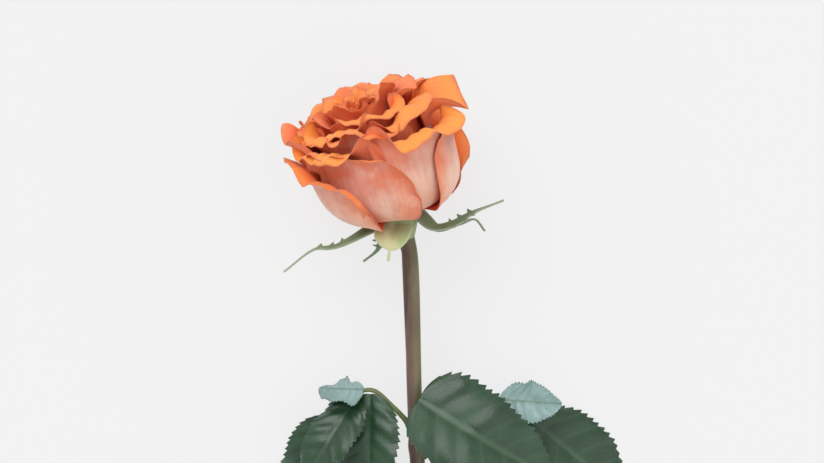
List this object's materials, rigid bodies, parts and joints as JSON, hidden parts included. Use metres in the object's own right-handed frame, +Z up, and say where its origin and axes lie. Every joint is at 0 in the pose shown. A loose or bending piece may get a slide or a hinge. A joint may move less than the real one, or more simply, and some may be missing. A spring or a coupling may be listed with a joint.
{
  "type": "cut rose",
  "caption": "Cut garden rose lying on its side: a full, open bloom with rolled orange petals, green calyx, long stem with prickles, and drooping compound leaves.",
  "frame": {"origin": "centre of the rose's footprint on the surface that it lies on", "axes": "+Y along the stem from the cut end to the bloom, +Z up from the surface, +X to the right when looked down on with the bloom at the top"},
  "size_m": [0.1804, 0.3926, 0.0744],
  "materials": {
    "petal": "matte",
    "sepal": "matte",
    "receptacle": "matte",
    "stem": "satin",
    "leaf_stalk": "satin",
    "leaf_blade": "satin"
  },
  "bodies": {
    "root": {"leaf_left": "leaf_stalk", "leaf_left_leaflet_1": "leaf_blade", "leaf_left_leaflet_2": "leaf_blade", "leaf_left_leaflet_3": "leaf_blade", "leaf_left_leaflet_4": "leaf_blade", "leaf_left_leaflet_5": "leaf_blade", "leaf_low": "leaf_stalk", "leaf_low_leaflet_1": "leaf_blade", "leaf_low_leaflet_2": "leaf_blade", "leaf_low_leaflet_3": "leaf_blade", "leaf_low_leaflet_4": "leaf_blade", "leaf_low_leaflet_5": "leaf_blade", "leaf_right": "leaf_stalk", "leaf_right_leaflet_1": "leaf_blade", "leaf_right_leaflet_2": "leaf_blade", "leaf_right_leaflet_3": "leaf_blade", "leaf_right_leaflet_4": "leaf_blade", "leaf_right_leaflet_5": "leaf_blade", "petal_00": "petal", "petal_01": "petal", "petal_02": "petal", "petal_03": "petal", "petal_04": "petal", "petal_05": "petal", "petal_06": "petal", "petal_07": "petal", "petal_08": "petal", "petal_09": "petal", "petal_10": "petal", "petal_11": "petal", "petal_12": "petal", "petal_13": "petal", "petal_14": "petal", "petal_15": "petal", "petal_16": "petal", "petal_17": "petal", "petal_18": "petal", "petal_19": "petal", "petal_20": "petal", "petal_21": "petal", "petal_22": "petal", "petal_23": "petal", "petal_24": "petal", "petal_25": "petal", "petal_26": "petal", "petal_27": "petal", "petal_28": "petal", "petal_29": "petal", "petal_30": "petal", "petal_31": "petal", "petal_32": "petal", "petal_33": "petal", "receptacle": "receptacle", "sepal_1": "sepal", "sepal_2": "sepal", "sepal_3": "sepal", "sepal_4": "sepal", "sepal_5": "sepal", "stem": "stem"}
  },
  "joints": []
}
